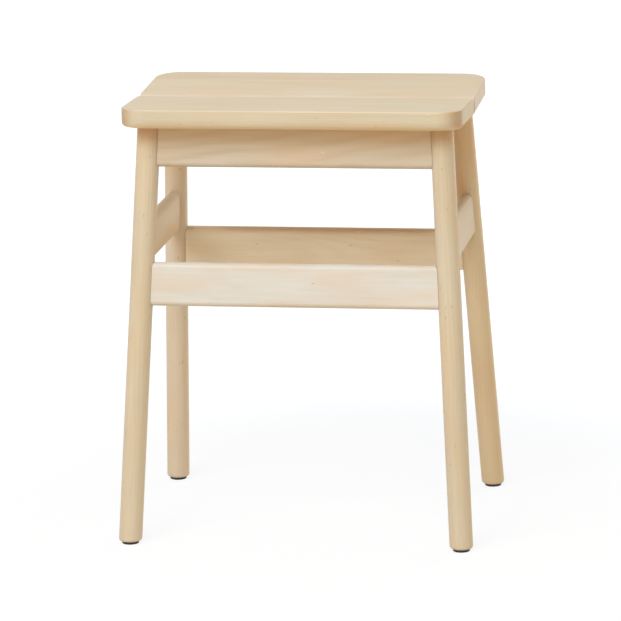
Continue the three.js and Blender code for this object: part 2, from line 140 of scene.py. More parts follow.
class Wire:
    """What one node of a finish gives out. Sums of wires add the nodes that work them out."""

    # The sockets of a node that mixes colours: the one beneath, the one on top, and what comes out
    UNDER = 6
    OVER = 7
    MIXED = 2

    def __init__(self, socket):
        self.socket = socket

    @staticmethod
    def node(tree, kind, settings=None, values=None, outlet=0):
        """Adds a node: first its settings, then the values or wires of its sockets."""
        made = tree.nodes.new(kind)
        for name, value in (settings or {}).items():
            if name == "stops":
                ramp = made.color_ramp
                ramp.interpolation = "CONSTANT"
                while len(ramp.elements) < len(value):
                    ramp.elements.new(1)
                for element, (place, shade) in zip(ramp.elements, value):
                    element.position = place
                    element.color = shade
            else:
                setattr(made, name, value)
        for name, value in (values or {}).items():
            if isinstance(value, Wire):
                tree.links.new(value.socket, made.inputs[name])
            else:
                made.inputs[name].default_value = value
        return Wire(made.outputs[outlet]) if made.outputs else None

    def more(self, kind, settings=None, values=None, outlet=0):
        """A further node of the same finish."""
        return Wire.node(self.socket.id_data, kind, settings, values, outlet)

    def twin(self, outlet):
        """Another outlet of the same node."""
        return Wire(self.socket.node.outputs[outlet])

    def maths(self, operation, first, second=0.0):
        return self.more("ShaderNodeMath", {"operation": operation}, {0: first, 1: second})

    def __add__(self, other):
        return self.maths("ADD", self, other)

    def __radd__(self, other):
        return self.maths("ADD", other, self)

    def __sub__(self, other):
        return self.maths("SUBTRACT", self, other)

    def __rsub__(self, other):
        return self.maths("SUBTRACT", other, self)

    def __mul__(self, other):
        return self.maths("MULTIPLY", self, other)

    def __rmul__(self, other):
        return self.maths("MULTIPLY", other, self)

    def __pow__(self, power):
        return self.maths("POWER", self, power)

    def __rpow__(self, base):
        return self.maths("POWER", base, self)

    def __abs__(self):
        return self.maths("ABSOLUTE", self)

    def __floor__(self):
        return self.maths("FLOOR", self)

    def sine(self):
        return self.maths("SINE", self)

    def larger(self, other):
        return self.maths("MAXIMUM", self, other)

    def vector(self, operation, other, outlet=0):
        return self.more("ShaderNodeVectorMath", {"operation": operation}, {0: self, 1: other}, outlet)

    def along(self, steps):
        """A place measured in steps of its own along each axis."""
        return self.vector("DIVIDE", steps)

    def moved(self, offset):
        return self.vector("ADD", offset)

    def towards(self, direction):
        """How squarely this looks along a direction."""
        return self.vector("DOT_PRODUCT", direction, "Value")

    def axes(self):
        x = self.more("ShaderNodeSeparateXYZ", None, {0: self})
        return [x, x.twin(1), x.twin(2)]

    def noise(self, steps, detail=0.0):
        """Soft noise about nought, its lumps as long as the steps."""
        values = {"Vector": self.along(steps), "Scale": 1.0, "Detail": detail}
        return self.more("ShaderNodeTexNoise", None, values) - 0.5

    def varying(self, usual, reach):
        """A usual value that this noise varies as far as the reach."""
        return usual + self * reach

    def between(self, low, high):
        """Nought below low, one above high and smooth between them."""
        values = {"Value": self, "From Min": low, "From Max": high}
        return self.more("ShaderNodeMapRange", {"interpolation_type": "SMOOTHSTEP"}, values)

    def mixed(self, under, over):
        """Over laid on under, as thick as this wire says."""
        values = {0: self, Wire.UNDER: under, Wire.OVER: over}
        return self.more("ShaderNodeMix", {"data_type": "RGBA"}, values, Wire.MIXED)

    def tinted(self, tint, share=1.0):
        """This colour multiplied by a tint, as far as the share says."""
        settings = {"data_type": "RGBA", "blend_type": "MULTIPLY"}
        values = {0: share, Wire.UNDER: self, Wire.OVER: tint}
        return self.more("ShaderNodeMix", settings, values, Wire.MIXED)

    def bump(self, strength, depth):
        """The relief of this height, for a shader's normal."""
        values = {"Strength": strength, "Distance": depth, "Height": self}
        return self.more("ShaderNodeBump", None, values)

    def shown(self, output="ShaderNodeOutputMaterial"):
        """Ends the finish in this shader."""
        self.more(output, None, {"Surface": self})


def first_wire(look, kind, settings=None, outlet=0):
    """Empties a finish, or the room's look, and gives the first wire of its new nodes."""
    look.use_nodes = True
    look.node_tree.nodes.clear()
    return Wire.node(look.node_tree, kind, settings, None, outlet)


def colour(text, tint=(1, 1, 1)):
    """A colour written as a painter's hex number, as the shader takes it, or tinted from it."""
    painted = Color([int(text[i:i + 2], 16) / 255 for i in (0, 2, 4)])
    return (*(part * share for part, share in zip(painted.from_srgb_to_scene_linear(), tint)), 1.0)


# The figure of beech. Each kind has its size along the fibres, across and into the wood in millimetres,
# how ragged it is, and how strong, or for the wander of the rings how many millimetres wide
FIGURE = {
    "slow wander": ((170, 40, 40), 1.5, 14),
    "fine wander": ((30, 8, 8), 0.0, 1.2),
    "late patches": ((70, 12, 12), 0.0, 2.4),
    "streaks": ((110, 3.2, 3.2), 2.0, 0.32),
    "clouds": ((120, 30, 30), 1.0, 0.5),
    "fibres": ((30, 0.9, 0.9), 2.0, 1.0),
    "fleck crowds": ((45, 14, 14), 0.0, 0.5),
    "warm patches": ((90, 20, 20), 0.0, 0.5),
}
# How far rings and fibres darken the wood, how dark it is without them, and its palest and darkest tint
RING_SHADE = 0.1
FIBRE_SHADE = 0.38
USUAL_SHADE = 0.42
PALE_TINT = (1.06, 1.07, 1.09)
DARK_TINT = (0.91, 0.85, 0.77)
WARM_COLOUR = "d9ab74"
WARM_SHARE = 0.06
# Flecks: the size of the cell round each, its core and rim, the chances from which they begin to show and
# show fully with how these fall in flecked wood, which of them are pale, and how strong they are
FLECK_CELLS = (10.0, 2.8, 2.8)
FLECK_RIM = (0.1, 0.28)
FLECK_CHANCE = ((1.04, 0.06), (1.06, 0.04))
PALE_FLECKS = (0.6, 0.7)
DARK_FLECK = "94673d"
PALE_FLECK = "f6e9d0"
FLECK_SHARE = 0.42
# End grain: how squarely a face must look along the fibres, and how much less it darkens if sawn flat
END_GRAIN = (0.3, 0.97)
SAWN_FLAT = (0.96, 1.0)
SAWN_PALER = 0.7
END_GRAIN_COLOUR = "b08553"
END_GRAIN_SHARE = 0.6
# Where the rounded edge of a board turns from its face to its side
EDGE_TURN = (0.3, 0.8)
# How far apart in the log two neighbouring staves of a board were sawn
STAVES_APART = (173.0, 31.0, 17.0)
# The surface: how far each part of the figure stands out, how strong and deep that relief is, how rough
# the wood is and how much rougher its grain, and the thin matt lacquer over it
FIBRE_RELIEF = 0.5
RING_RELIEF = 0.2
FLECK_RELIEF = 1.2
WOOD_RELIEF = (0.15, 0.1 * MM)
WOOD_ROUGHNESS = 0.46
GRAIN_ROUGHNESS = 0.12
LACQUER_GLOSS = 0.22
LACQUER_COAT = 0.08
LACQUER_ROUGHNESS = 0.24


def beech(name, tone, along, log, heart, rings=0.5, slope=0.01, spacing=2.8, flecked=0.5,
          staves=(), lacquer=1.0, tints=(), edges=None):
    """Beech that reads the grain laid on each piece: x in millimetres along the fibres. Tone is its
    usual colour, log where it was sawn from, heart how far the tree's heart is across and below.
    Staves are the tones of the strips that a board is glued up from. Tints paint shade and light onto the
    wood: one or more ranges along the axes, plain at the first and tinted at the second, then the tint.
    Edges paint cooler light onto the sides of a board, where they turn away from its face: which way its
    face looks, and the tint."""
    finish = bpy.data.materials.new(name)
    laid = first_wire(finish, "ShaderNodeAttribute", {"attribute_name": "grain"}, "Vector")
    axes = laid.axes()
    place = laid.moved(log)
    if staves:
        across_board = axes[1] * (MM / BOARD_WIDTH)
        number = math.floor(across_board * len(staves))
        apart = number.more(
            "ShaderNodeVectorMath", {"operation": "SCALE"}, {0: STAVES_APART, "Scale": number})
        place = place.moved(apart)
        stops = [(i / len(staves), (tint, tint, tint, 1.0)) for i, tint in enumerate(staves)]
        stave_tint = number.more("ShaderNodeValToRGB", {"stops": stops}, {0: across_board})

    def figure(kind):
        steps, detail, strength = FIGURE[kind]
        return place.noise(steps, detail) * strength

    length, across, deep = place.moved((-log[0], -log[1] - heart[0], -log[2] - heart[1])).axes()
    across = across + length * slope
    deep = deep + length * slope
    depth = (across * across + deep * deep) ** 0.5 + (figure("slow wander") + figure("fine wander"))
    ring = (depth * (math.tau / spacing)).sine() * 0.5 + 0.5
    late = ring ** 2 * (figure("late patches") + 1)
    fibres = figure("fibres")
    dark = late * (RING_SHADE * rings) + figure("streaks") + fibres * FIBRE_SHADE + figure("clouds")
    dark = (dark + USUAL_SHADE).between(0.0, 1.0)

    near = place.more("ShaderNodeTexVoronoi", None, {"Vector": place.along(FLECK_CELLS), "Scale": 1.0})
    chance, paleness, _ = near.twin("Color").axes()
    shows_from, shows_at = (least - fall * flecked for least, fall in FLECK_CHANCE)
    shows = (chance + figure("fleck crowds")).between(shows_from, shows_at)
    flecks = (1 - near.between(*FLECK_RIM)) * shows
    fleck_colour = paleness.between(*PALE_FLECKS).mixed(colour(DARK_FLECK), colour(PALE_FLECK))

    facing = laid.more("ShaderNodeNewGeometry", None, None, "Normal")
    end_on = abs(facing.towards(along))
    end_grain = end_on.between(*END_GRAIN) - end_on.between(*SAWN_FLAT) * SAWN_PALER

    wood = dark.mixed(colour(tone, PALE_TINT), colour(tone, DARK_TINT))
    # Painted shade and light: each tint darkens, warms or brightens the wood over its ranges, in place of
    # real light
    places = [abs(axes[0]), axes[1], axes[2]]
    for *ranges, tint in tints:
        share = math.prod(places[axis].between(plain_at, tinted_at) for axis, plain_at, tinted_at in ranges)
        wood = wood.tinted((*tint, 1.0), share)
    # Painted light: a cooler tint on the sides of a board, where they turn away from its face
    if edges:
        face, tint = edges
        wood = wood.tinted((*tint, 1.0), 1 - abs(facing.towards(face)).between(*EDGE_TURN))
    wood = (figure("warm patches") + WARM_SHARE).mixed(wood, colour(WARM_COLOUR))
    wood = (flecks * FLECK_SHARE).mixed(wood, fleck_colour)
    wood = (end_grain * END_GRAIN_SHARE).mixed(wood, colour(END_GRAIN_COLOUR))
    if staves:
        wood = wood.tinted(stave_tint)

    relief = fibres * FIBRE_RELIEF + late * (RING_RELIEF * rings) - flecks * FLECK_RELIEF
    wood.more("ShaderNodeBsdfPrincipled", None, {
        "Base Color": wood,
        "Roughness": WOOD_ROUGHNESS + fibres * GRAIN_ROUGHNESS + end_grain * GRAIN_ROUGHNESS,
        "Specular IOR Level": LACQUER_GLOSS * lacquer,
        "Coat Weight": LACQUER_COAT * lacquer,
        "Coat Roughness": LACQUER_ROUGHNESS,
        "Normal": relief.bump(*WOOD_RELIEF),
    }).shown()
    return finish


# For each piece, the turn and shift from the stool's frame to its own wood
GRAINS = {}


def lay_grain(piece):
    """Writes each point's place along, across and into the wood, and shades the soft edges smooth."""
    mesh = piece.data
    into = GRAINS[piece.name]
    grain = mesh.attributes.get("grain") or mesh.attributes.new("grain", "FLOAT_VECTOR", "POINT")
    places = [value for vertex in mesh.vertices for value in (into @ vertex.co) / MM]
    grain.data.foreach_set("vector", places)
    mesh.shade_smooth()
    mesh.set_sharp_from_angle(angle=SMOOTH_UP_TO)


def make_piece(name, solid, origin, along, up, finish):
    """A piece that stands for the frame's solid of the same name, its grain run along it."""
    mesh = bpy.data.meshes.new(name)
    bmesh.ops.recalc_face_normals(solid, faces=solid.faces)
    solid.to_mesh(mesh)
    solid.free()
    mesh.materials.append(finish)
    piece = bpy.data.objects.new(name, mesh)
    bpy.context.scene.collection.objects.link(piece)
    along = along.normalized()
    across = up.cross(along).normalized()
    turn = Matrix((along, across, along.cross(across))).transposed().to_4x4()
    GRAINS[piece.name] = (Matrix.Translation(origin) @ turn).inverted()
    lay_grain(piece)
    flats = piece.modifiers.new("level flats", "WEIGHTED_NORMAL")
    flats.keep_sharp = True
    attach(piece, "root")
    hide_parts(name)
    return piece


def carve(piece, cutters, operation="DIFFERENCE"):
    """Cuts the shapes of the cutters out of a piece, or joins them to it."""
    shapes = bmesh.new()
    for cutter in cutters:
        shape = bpy.data.meshes.new("cutter")
        cutter.to_mesh(shape)
        shapes.from_mesh(shape)
        bpy.data.meshes.remove(shape)
    tool_mesh = bpy.data.meshes.new("cutter")
    shapes.to_mesh(tool_mesh)
    shapes.free()
    tool = bpy.data.objects.new("cutter", tool_mesh)
    bpy.context.scene.collection.objects.link(tool)
    flats = piece.modifiers[0]
    flats.show_viewport = False
    cut = piece.modifiers.new("cut", "BOOLEAN")
    cut.operation = operation
    cut.solver = "EXACT"
    cut.object = tool
    whole = piece.data
    seen = piece.evaluated_get(bpy.context.evaluated_depsgraph_get())
    piece.data = bpy.data.meshes.new_from_object(seen)
    piece.modifiers.remove(cut)
    flats.show_viewport = True
    bpy.data.objects.remove(tool)
    bpy.data.meshes.remove(tool_mesh)
    bpy.data.meshes.remove(whole)
    piece.data.name = piece.name
    lay_grain(piece)


# Each leg's tone, where in the log it was sawn from, how far off the heart was, and its flecks
LEGS = {
    "front_left": ("ccc0a7", (0, 0, 91), (20, 30), 1.3),
    "front_right": ("c9bda4", (300, 57, 91), (29, 30), 3.0),
    "rear_left": ("d6c9b2", (600, 114, 91), (38, 30), 3.0),
    "rear_right": ("d3c1a0", (900, 171, 91), (47, 30), 2.0),
}
# Painted shade: under the seat the legs are tinted a warmer brown, the front ones only close to it, and the
# rear right one has a redder patch of painted shade lower down, just above its stretcher
PAINTED_HEAD_SHADE = {
    -1: ((0, 404, 428), (1.02, 0.78, 0.6)),
    1: ((0, 330, 400), (1.05, 0.95, 0.86)),
}
PAINTED_PATCH_SHADE = {"rear_right": [((0, 374, 345), (0, 318, 330), (1, -5, 5), (1.02, 0.84, 0.74))]}
legs = {}
leg_spaces = {}
for corner, (tone, log, heart, flecked) in LEGS.items():
    end = CORNERS[corner][1]
    low = leg_point(corner, -LEG_SPARE * SEAT_HEIGHT)
    high = leg_point(corner, (1 + LEG_SPARE) * SEAT_HEIGHT)
    run = high - low
    leg_spaces[corner] = round_bar(LEG_RADIUS + FIT, low, high)
    shares = [LEG_SPARE + (1 - LEG_SPARE) * i / LEG_RINGS for i in range(LEG_RINGS + 1)]
    leg = round_bar(LEG_RADIUS, low, high, [0] + shares)
    outer = leg_point(corner, SEAT_HEIGHT).y
    saw(leg, Vector((0, outer, underside(outer) - FIT)), Vector((0, -end * math.tan(TILT), 1)))
    foot = saw(leg, Vector((0, 0, FOOT_LEVEL)), Vector((0, 0, -1)))
    ease(leg, foot, FOOT_ROUND, FOOT_STEPS)
    finish = beech(
        f"leg_beech_{corner}", tone, run, log, heart, rings=1.0, slope=0.006, flecked=flecked,
        tints=[PAINTED_HEAD_SHADE[end]] + PAINTED_PATCH_SHADE.get(corner, []))
    inward = Vector((0, -end, 0))
    legs[corner] = make_piece(
        f"leg_{corner}", leg, leg_point(corner, 0), run, inward, finish)

# Aprons: two flat rails right under the seat, their lower edges rounded, their tops sawn to the slope
# of the boards. Their ends are hollowed to fit the legs, and a pair of dowels at each end holds them.
RAIL_THICKNESS = 12 * MM
RAIL_ROUND = 5.5 * MM
RAIL_ROUND_STEPS = 8
RAIL_STEP = 9 * MM
APRON_DROP = 65.3 * MM
DOWEL_HOLE = 3.3 * MM


def quarter_round(middle, spans, start, steps):
    """The points of a quarter of a round or oval, from an angle in degrees on."""
    angles = [math.radians(start + 90 * i / steps) for i in range(steps + 1)]
    x, y = middle
    return [(x + spans[0] * math.cos(angle), y + spans[1] * math.sin(angle)) for angle in angles]


def rail_lines(side, lengthwise, bottom):
    """Where a rail lies: the middle of its lower edge, the way it leans, its run and half its length."""
    at = leg_point("rear_right", bottom)
    lean = (leg_point("rear_right", SEAT_HEIGHT) - leg_point("rear_right", 0)) / SEAT_HEIGHT
    if lengthwise:
        up = Vector((0, side * lean.y, 1)).normalized()
        return Vector((0, side * at.y, bottom)), up, Vector((1, 0, 0)), at.x
    up = Vector((side * lean.x, 0, 1)).normalized()
    return Vector((side * at.x, 0, bottom)), up, Vector((0, 1, 0)), at.y


def rail_bar(lines, height, rounded_top):
    """A flat bar with rounded edges as long as from one leg's middle to the other's."""
    origin, up, run, half = lines
    across = up.cross(run)
    flank = RAIL_THICKNESS / 2 - RAIL_ROUND
    corners = [(-flank, RAIL_ROUND, 180), (flank, RAIL_ROUND, 270)]
    if rounded_top:
        corners += [(flank, height - RAIL_ROUND, 0), (-flank, height - RAIL_ROUND, 90)]
    edge = []
    for out, rise, start in corners:
        edge += quarter_round((out, rise), (RAIL_ROUND, RAIL_ROUND), start, RAIL_ROUND_STEPS)
    if not rounded_top:
        edge += [(RAIL_THICKNESS / 2, height), (-RAIL_THICKNESS / 2, height)]
    count = round(2 * half / RAIL_STEP)
    places = [half * (2 * i / count - 1) for i in range(count + 1)]
    return loft([[origin + run * x + across * out + up * rise for out, rise in edge] for x in places])


def pin_ends(node, axis):
    """The two ends of a dowel, screw or nail that lies along an axis, a fit longer than it is."""
    low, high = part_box(node)
    start = (low + high) / 2
    end = start.copy()
    start[axis] = low[axis] - FIT
    end[axis] = high[axis] + FIT
    return start, end


# Each apron's end of the stool, its tone, where in the log it was sawn from, and its dowels
APRONS = {
    "front": (-1, "c7bca8", (-90, -400, 35), (1, 2, 3, 4)),
    "rear": (1, "d4c2a8", (-90, 400, 35), (5, 6, 7, 8)),
}
APRON_HEART = (-75, -12)
# Painted shade and bounced light: an apron is tinted warmer from its lower edge up to the seat
APRON_PAINTED_SHADE = ((2, 10, 44), (1.22, 1.05, 0.82))
aprons = {}
for name, (side, tone, log, dowels) in APRONS.items():
    lines = rail_lines(side, True, SEAT_HEIGHT - APRON_DROP)
    origin, up, run, _ = lines
    bar = rail_bar(lines, APRON_DROP, False)
    saw(bar, Vector((0, origin.y, underside(origin.y) - FIT)), Vector((0, -side * math.tan(TILT), 1)))
    finish = beech(
        f"apron_beech_{name}", tone, run, log, APRON_HEART, rings=2.2, slope=-0.05, spacing=5.5,
        flecked=0.3, tints=[APRON_PAINTED_SHADE])
    aprons[name] = make_piece(f"apron_{name}", bar, origin, run, up, finish)
    carve(aprons[name], [leg_spaces[corner] for corner in CORNERS])
    pins = [pin_ends(f"apron_dowel_{number}", 0) for number in dowels]
    holes = [round_bar(DOWEL_HOLE, *pin) for pin in pins]
    carve(aprons[name], holes)
    for corner, (left_or_right, end) in CORNERS.items():
        if end == side:
            carve(legs[corner], [
                hole for hole, (start, _) in zip(holes, pins) if (start.x > 0) == (left_or_right > 0)])

# Stretchers: four flat rails lower down, rounded on all long edges. The front and rear ones run lower
# than the left and right ones, so that their tenons pass clear of each other inside the legs.
STRETCHER_HEIGHT = 45 * MM
LONG_DROP = 206.6 * MM
SHORT_DROP = 165.5 * MM
TENON_THICKNESS = 6 * MM
TENON_SHOULDER = 7 * MM
LEG_WEB = 1 * MM


def tenon(lines, lengthwise, clearance):
    """The flat tongue through a stretcher whose ends stop just short of the legs' middles."""
    origin, up, run, _ = lines
    across = up.cross(run)
    stop = TENON_THICKNESS / 2 + FIT + LEG_WEB - clearance
    outline = []
    for rise, ways in ((TENON_SHOULDER - clearance, (-1, 1)),
                       (STRETCHER_HEIGHT - TENON_SHOULDER + clearance, (1, -1))):
        middle = leg_point("rear_right", origin.z + rise * up.z)
        reach = (middle.x if lengthwise else middle.y) - stop
        outline += [origin + run * (reach * way) + up * rise for way in ways]
    half = across * (TENON_THICKNESS / 2 + clearance)
    return loft([[point - half for point in outline], [point + half for point in outline]])


# Each stretcher's side or end of the stool, whether it runs from left to right, its drop and tone, where
# in the log it was sawn from, how far off the heart was, its rings, its flecks and its lacquer
STRETCHERS = {
    "front": (-1, True, LONG_DROP, "d1cfc7", (-150, 80, 12), (70, 30), 0.8, 0.2, 1.0),
    "rear": (1, True, LONG_DROP, "e4d7be", (240, -60, 40), (-75, 10), 1.2, 2.0, 1.0),
    "left": (-1, False, SHORT_DROP, "d7cdba", (60, 30, -90), (-65, 30), 0.3, 0.3, 0.1),
    "right": (1, False, SHORT_DROP, "d1c7b6", (-40, 10, 70), (60, -10), 0.3, 0.3, 0.1),
}
# Painted light and shade: the long ones are tinted a little warmer along the lower edge, as painted light
# bounced from the floor, and the rear one browner along its top as painted shade, though less so towards
# the legs. The short ones get painted shade next to the legs and along the top, and the left one is tinted
# warmer and darker towards its lower edge.
PAINTED_LOWER_EDGE_LIGHT = ((2, 6, 1), (1.06, 1.0, 0.88))
PAINTED_SHADE_NEAR_LEGS = ((0, 60, 112), (0.95, 0.87, 0.77))
STRETCHER_PAINTED_LIGHT = {
    "front": [PAINTED_LOWER_EDGE_LIGHT],
    "rear": [PAINTED_LOWER_EDGE_LIGHT, ((2, 38, 44.5), (0, 140, 95), (0.80, 0.67, 0.56))],
    "left": [PAINTED_SHADE_NEAR_LEGS, ((2, 36, 42), (0.88, 0.86, 0.85)), ((2, 26, 6), (0.97, 0.90, 0.80))],
    "right": [PAINTED_SHADE_NEAR_LEGS, ((2, 36, 42), (0.86, 0.83, 0.78))],
}
stretchers = {}
for name, (side, lengthwise, drop, tone, log, heart, rings, flecked, lacquer) in STRETCHERS.items():
    lines = rail_lines(side, lengthwise, SEAT_HEIGHT - drop)
    origin, up, run, _ = lines
    finish = beech(
        f"stretcher_beech_{name}", tone, run, log, heart, rings=rings, slope=0.03, spacing=3.2,
        flecked=flecked, lacquer=lacquer, tints=STRETCHER_PAINTED_LIGHT[name])
    bar = rail_bar(lines, STRETCHER_HEIGHT, True)
    stretchers[name] = make_piece(f"stretcher_{name}", bar, origin, run, up, finish)
    carve(stretchers[name], [leg_spaces[corner] for corner in CORNERS])
    carve(stretchers[name], [tenon(lines, lengthwise, 0)], "UNION")
    mortise = tenon(lines, lengthwise, FIT)
    for corner, (left_or_right, end) in CORNERS.items():
        if (end if lengthwise else left_or_right) == side:
            carve(legs[corner], [mortise])

# Battens: two straight bars between the aprons, sawn on top to the shallow V of the seat and doweled
# to the aprons. Nobody sees them from above. The screws that hold the seat go up through them.
BATTEN_WIDTH = 18 * MM
BATTEN_INSET = 80 * MM
BATTEN_DROP = 52 * MM
BATTEN_EDGE = 0.6 * MM
BATTEN_EDGE_STEPS = 2
BATTEN_TONE = "e0c7a1"
BATTEN_HEART = (12, -40)
SEAT_LENGTH = 350 * MM
# Each batten's side, where in the log it was sawn from, and its dowels by the apron that they go into
BATTENS = {
    "left": (-1, (30, -250, 0), {"front": 1, "rear": 2}),
    "right": (1, (30, 250, 0), {"front": 3, "rear": 4}),
}

batten_bottom = SEAT_HEIGHT - BATTEN_DROP
lean = (FOOT.y - HEAD.y) / SEAT_HEIGHT
half_low = leg_point("rear_right", batten_bottom).y - (RAIL_THICKNESS / 2 + FIT) * math.hypot(1, lean)
rise = (underside(half_low) - FIT - batten_bottom) / (1 + math.tan(TILT) * lean)
half_high = half_low - lean * rise
batten_profile = [
    (-half_high, batten_bottom + rise),
    (-half_low, batten_bottom),
    (half_low, batten_bottom),
    (half_high, batten_bottom + rise),
    (0, underside(0) - FIT),
]
battens = {}
for name, (side, log, dowels) in BATTENS.items():
    middle = side * (SEAT_LENGTH / 2 - BATTEN_INSET)
    faces = (middle - BATTEN_WIDTH / 2, middle + BATTEN_WIDTH / 2)
    solid = loft([[Vector((x, y, z)) for y, z in batten_profile] for x in faces])
    ease(solid, solid.edges[:], BATTEN_EDGE, BATTEN_EDGE_STEPS)
    run = Vector((0, 1, 0))
    finish = beech(f"batten_beech_{name}", BATTEN_TONE, run, log, BATTEN_HEART)
    battens[name] = make_piece(
        f"batten_{name}", solid, Vector((middle, 0, batten_bottom)), run, Vector((0, 0, 1)),
        finish)
    for apron, number in dowels.items():
        hole = round_bar(DOWEL_HOLE, *pin_ends(f"batten_dowel_{number}", 1))
        carve(battens[name], [hole])
        carve(aprons[apron], [hole])

# Seat: two boards, each glued up from three staves of beech with the grain from left to right. They dip
# to a narrow slot between them. Upper edges are barely eased, lower ones rounded and corners full.
# The frame's boards end a little under their full thickness, and these end level with them
BOARD_TOP = 19.8 * MM
CORNER_ROUND = 27 * MM
SLOT_CORNER_ROUND = 2 * MM
UNDER_ROUND = 10 * MM
END_UNDER_ROUND = 4.7 * MM
SLOT_ROUND = 9 * MM
SLOT_UNDER_ROUND = 2 * MM
CORNER_STEPS = 18
SLOT_CORNER_STEPS = 5
SAME_LEVEL = 0.04 * MM
# The rounded edges that the levels follow: radius, steps, and whether they lie at the top
BOARD_ROUNDS = (
    (UNDER_ROUND, 12, False),
    (END_UNDER_ROUND, 8, False),
    (BOARD_TOP_ROUND, 6, True),
    (SLOT_ROUND, 14, True),
)


def inset(radius, depth):
    """How far a rounded edge stands back at a depth below its face."""
    if depth >= radius:
        return 0.0
    return radius - math.sqrt(radius ** 2 - (radius - depth) ** 2)


def board_levels():
    """The heights in a board at which its rounded edges have their rings."""
    levels = []
    for radius, steps, at_top in BOARD_ROUNDS:
        depths = [radius * (1 - math.cos(math.pi / 2 * i / steps)) for i in range(steps + 1)]
        levels += [BOARD_TOP - depth if at_top else depth for depth in depths]
    levels.sort()
    return [level for i, level in enumerate(levels) if i == 0 or level - levels[i - 1] > SAME_LEVEL]


def board_ring(level):
    """The outline of a board at a level: x along it, y in from its outer edge."""
    below = BOARD_TOP - level
    at_top = inset(BOARD_TOP_ROUND, below)
    at_end = max(inset(END_UNDER_ROUND, level), at_top)
    outer = max(inset(UNDER_ROUND, level), at_top)
    inner = max(inset(SLOT_UNDER_ROUND, level), inset(SLOT_ROUND, below))
    half = SEAT_LENGTH / 2 - at_end
    full = (CORNER_ROUND - at_end, CORNER_ROUND - outer)
    small = (SLOT_CORNER_ROUND, SLOT_CORNER_ROUND)
    outer_x, outer_y = half - full[0], outer + full[1]
    slot_x, slot_y = half - SLOT_CORNER_ROUND, BOARD_WIDTH - inner - SLOT_CORNER_ROUND
    outline = (
        quarter_round((-outer_x, outer_y), full, 180, CORNER_STEPS)
        + quarter_round((outer_x, outer_y), full, 270, CORNER_STEPS)
        + quarter_round((slot_x, slot_y), small, 0, SLOT_CORNER_STEPS)
        + quarter_round((-slot_x, slot_y), small, 90, SLOT_CORNER_STEPS)
    )
    return [Vector((x, y, level)) for x, y in outline]


# Each board's end of the stool, its tone, the tones of its staves, where in the log it was sawn from, how
# far off the heart was, and the painted shade and cooler light on its ends
BOARDS = {
    "front": (-1, "cdc1a6", (0.99, 1.0, 0.985), (500, 20, 0), (24, -95), (0.87, 0.90, 0.85)),
    "rear": (1, "d0c2a6", (0.955, 1.0, 1.01), (-380, 300, 25), (-10, -120), (0.91, 0.98, 1.06)),
}
END_FACES = (0, 173.9, 174.8)
# Painted light on the edges: warmer and paler on the lower round, cooler on the way down into the slot,
# paler on the slot's round, and last a painted highlight on the eased outer edge
PAINTED_EDGE_LIGHT = [
    ((2, 8.5, 3), (1.2, 1.1, 1.0)),
    ((1, 99, 105), (0.97, 1.0, 1.13)),
    ((1, 105, 109.5), (1.12, 1.15, 1.2)),
    ((2, 18.5, 19.2), (1, 3.0, 1.0), (1.13, 1.13, 1.17)),
]
# Painted cooler light on a board's sides, where they turn away from its face
PAINTED_SIDE_LIGHT = (0.975, 1.0, 1.035)
boards = {}
for name, (side, tone, staves, log, heart, end_painted_shade) in BOARDS.items():
    solid = loft([board_ring(level) for level in board_levels()])
    place = Matrix.Translation((0, -HALF_DEPTH, OUTER_UNDERSIDE)) @ Matrix.Rotation(-TILT, 4, "X")
    if side > 0:
        place = Matrix.Rotation(math.pi, 4, "Z") @ place
    solid.transform(place)
    along = place.to_3x3() @ Vector((1, 0, 0))
    up = place.to_3x3() @ Vector((0, 0, 1))
    finish = beech(
        f"seat_beech_{name}", tone, along, log, heart, rings=0.6, spacing=3.4, flecked=0.3,
        staves=staves, tints=PAINTED_EDGE_LIGHT + [(END_FACES, end_painted_shade)], edges=(up, PAINTED_SIDE_LIGHT))
    boards[name] = make_piece(
        f"seat_board_{name}", solid, place.translation, along, up, finish)
    for corner, (_, end) in CORNERS.items():
        if end == side:
            low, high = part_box(f"leg_head_dowel_{corner}")
            hole = round_bar(DOWEL_HOLE, leg_point(corner, low.z), leg_point(corner, high.z))
            carve(boards[name], [hole])
            carve(legs[corner], [hole])

# Dowels: plain round pins of raw beech, glued into the legs, aprons, battens and boards. They are
# hidden in the joints, and their bevelled ends keep a little room at the bottom of each hole.
RAW_PALE = "cfab7a"
RAW_DARK = "b58c58"
RAW_SPECKLE = ((4 * MM, 0.8 * MM, 0.8 * MM), 3.0)
RAW_ROUGHNESS = (0.74, 0.2)
RAW_RELIEF = (0.3, 0.2 * MM)
raw_beech = bpy.data.materials.new("raw_beech")
speckle = first_wire(raw_beech, "ShaderNodeTexCoord", None, "Object").noise(*RAW_SPECKLE)
speckle.more("ShaderNodeBsdfPrincipled", None, {
    "Base Color": (speckle + 0.5).mixed(colour(RAW_PALE), colour(RAW_DARK)),
    "Roughness": speckle.varying(*RAW_ROUGHNESS),
    "Normal": speckle.bump(*RAW_RELIEF),
}).shown()

# Screws and nails: zinc-plated steel. The screws sit sunk in the battens with their cross slots
# downwards, and each glide has one short nail through its middle.
SEAT_SCREWS = 8
SCREW_HOLE = 2.3 * MM
SCREW_HEAD_HOLE = 4.05 * MM
SCREW_HEAD_HEIGHT = 2.6 * MM
# The drill comes from this far below the batten
DRILL_START = 5 * MM
ZINC_BRIGHT = "b9babb"
ZINC_DULL = "8f9296"
ZINC_SCUFFS = ((3 * MM, 3 * MM, 0.4 * MM), 4.0)
ZINC_ROUGHNESS = (0.34, 0.3)
steel = bpy.data.materials.new("zinc_plated_steel")
scuffs = first_wire(steel, "ShaderNodeTexCoord", None, "Object").noise(*ZINC_SCUFFS)
scuffs.more("ShaderNodeBsdfPrincipled", None, {
    "Base Color": (scuffs + 0.5).mixed(colour(ZINC_BRIGHT), colour(ZINC_DULL)),
    "Metallic": 1.0,
    "Roughness": scuffs.varying(*ZINC_ROUGHNESS),
}).shown()

